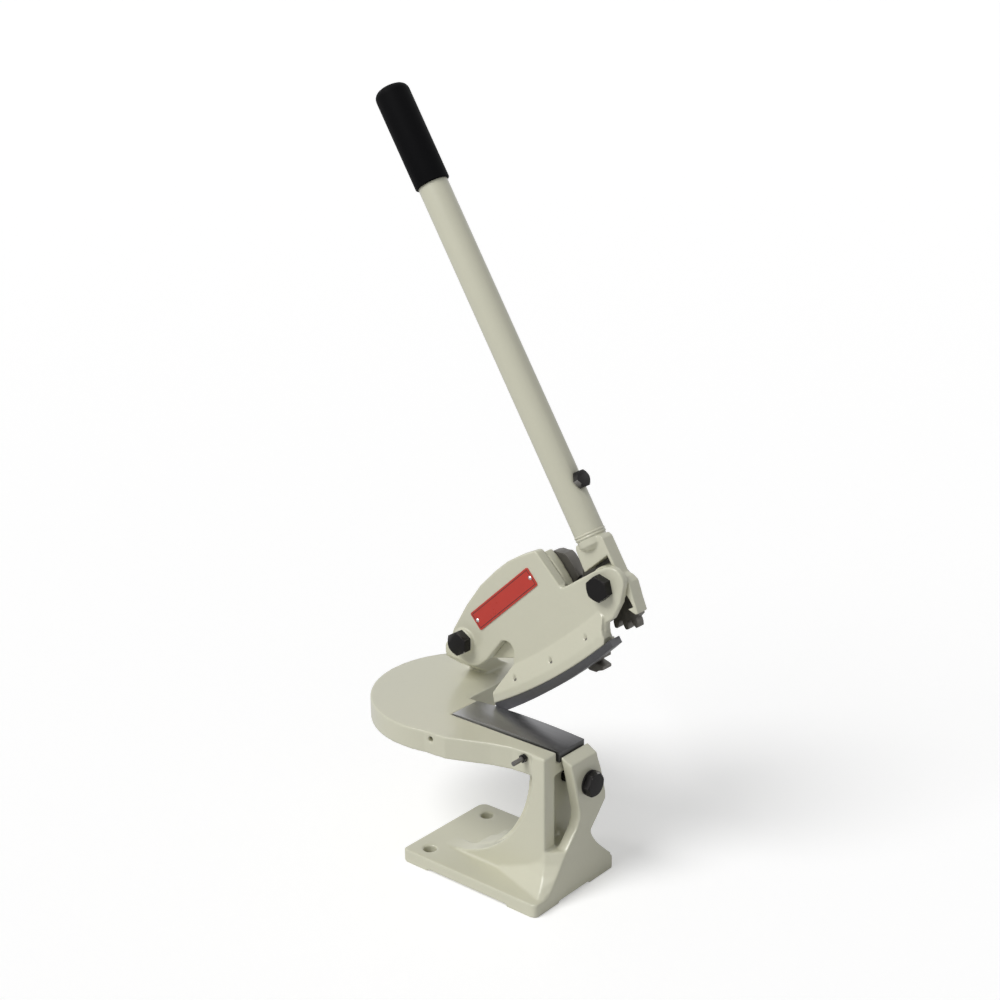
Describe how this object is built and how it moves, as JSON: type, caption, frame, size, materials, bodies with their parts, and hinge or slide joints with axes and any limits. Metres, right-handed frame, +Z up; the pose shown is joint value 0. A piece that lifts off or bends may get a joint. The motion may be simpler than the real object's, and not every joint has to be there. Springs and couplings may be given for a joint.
{
  "type": "throatless bench shear",
  "caption": "Cast bench shear with no throat: a curved upper blade on a geared jaw closes on a lower blade beside a round deck, worked by a long lever.",
  "frame": {"origin": "on the bench, on the foot's underside, less than 2 mm from its centre", "axes": "+X along the lower blade to its outer tip, +Y away from the operator, +Z up"},
  "size_m": [0.3388, 0.218, 0.8049],
  "materials": {
    "enamel": "cream enamel over cast iron, smooth gloss",
    "blade_steel": "ground tool steel",
    "black_oxide": "black oxide",
    "gear_steel": "dark oiled gear steel",
    "ground_pin": "ground steel",
    "bronze": "bearing bronze",
    "plate_red": "red enamelled plate",
    "grip_rubber": "smooth black rubber"
  },
  "bodies": {
    "frame": {"frame_casting": "enamel", "lower_blade": "blade_steel", "lower_blade_screws": "black_oxide", "blade_adjust_stud": "black_oxide", "stud_locknut": "black_oxide", "end_bolt": "black_oxide", "end_bolt_washer": "black_oxide", "gear_sector": "gear_steel", "sector_screws": "black_oxide", "sector_dowels": "ground_pin", "pivot_bolt": "black_oxide", "thrust_washer": "bronze", "pivot_washer": "black_oxide", "pivot_nut": "black_oxide"},
    "jaw": {"upper_jaw": "enamel", "pivot_bush": "bronze", "upper_blade": "blade_steel", "upper_blade_screws": "black_oxide", "name_plate": "plate_red", "plate_rivets": "ground_pin", "lever_bolt": "black_oxide", "lever_washer": "black_oxide", "lever_ring": "black_oxide"},
    "lever": {"lever_casting": "enamel", "lever_bush": "bronze", "pinion": "gear_steel", "drive_pins": "ground_pin", "weld_collar": "enamel", "handle_tube": "enamel", "clamp_bolt": "black_oxide", "grip": "grip_rubber"}
  },
  "joints": [
    {"name": "jaw_pivot", "type": "hinge", "parent": "frame", "child": "jaw", "pos_m": [-0.092, 0.046, 0.2225], "axis": [0, 1, 0], "range_deg": [0, 28]},
    {"name": "lever_pivot", "type": "hinge", "parent": "jaw", "child": "lever", "pos_m": [0.09141, 0.064, 0.32882], "axis": [0, 1, 0], "range_deg": [0, 95.7]}
  ],
  "couplings": [
    {"joint": "lever_pivot", "follows": "jaw_pivot", "ratio": 3.4167}
  ]
}
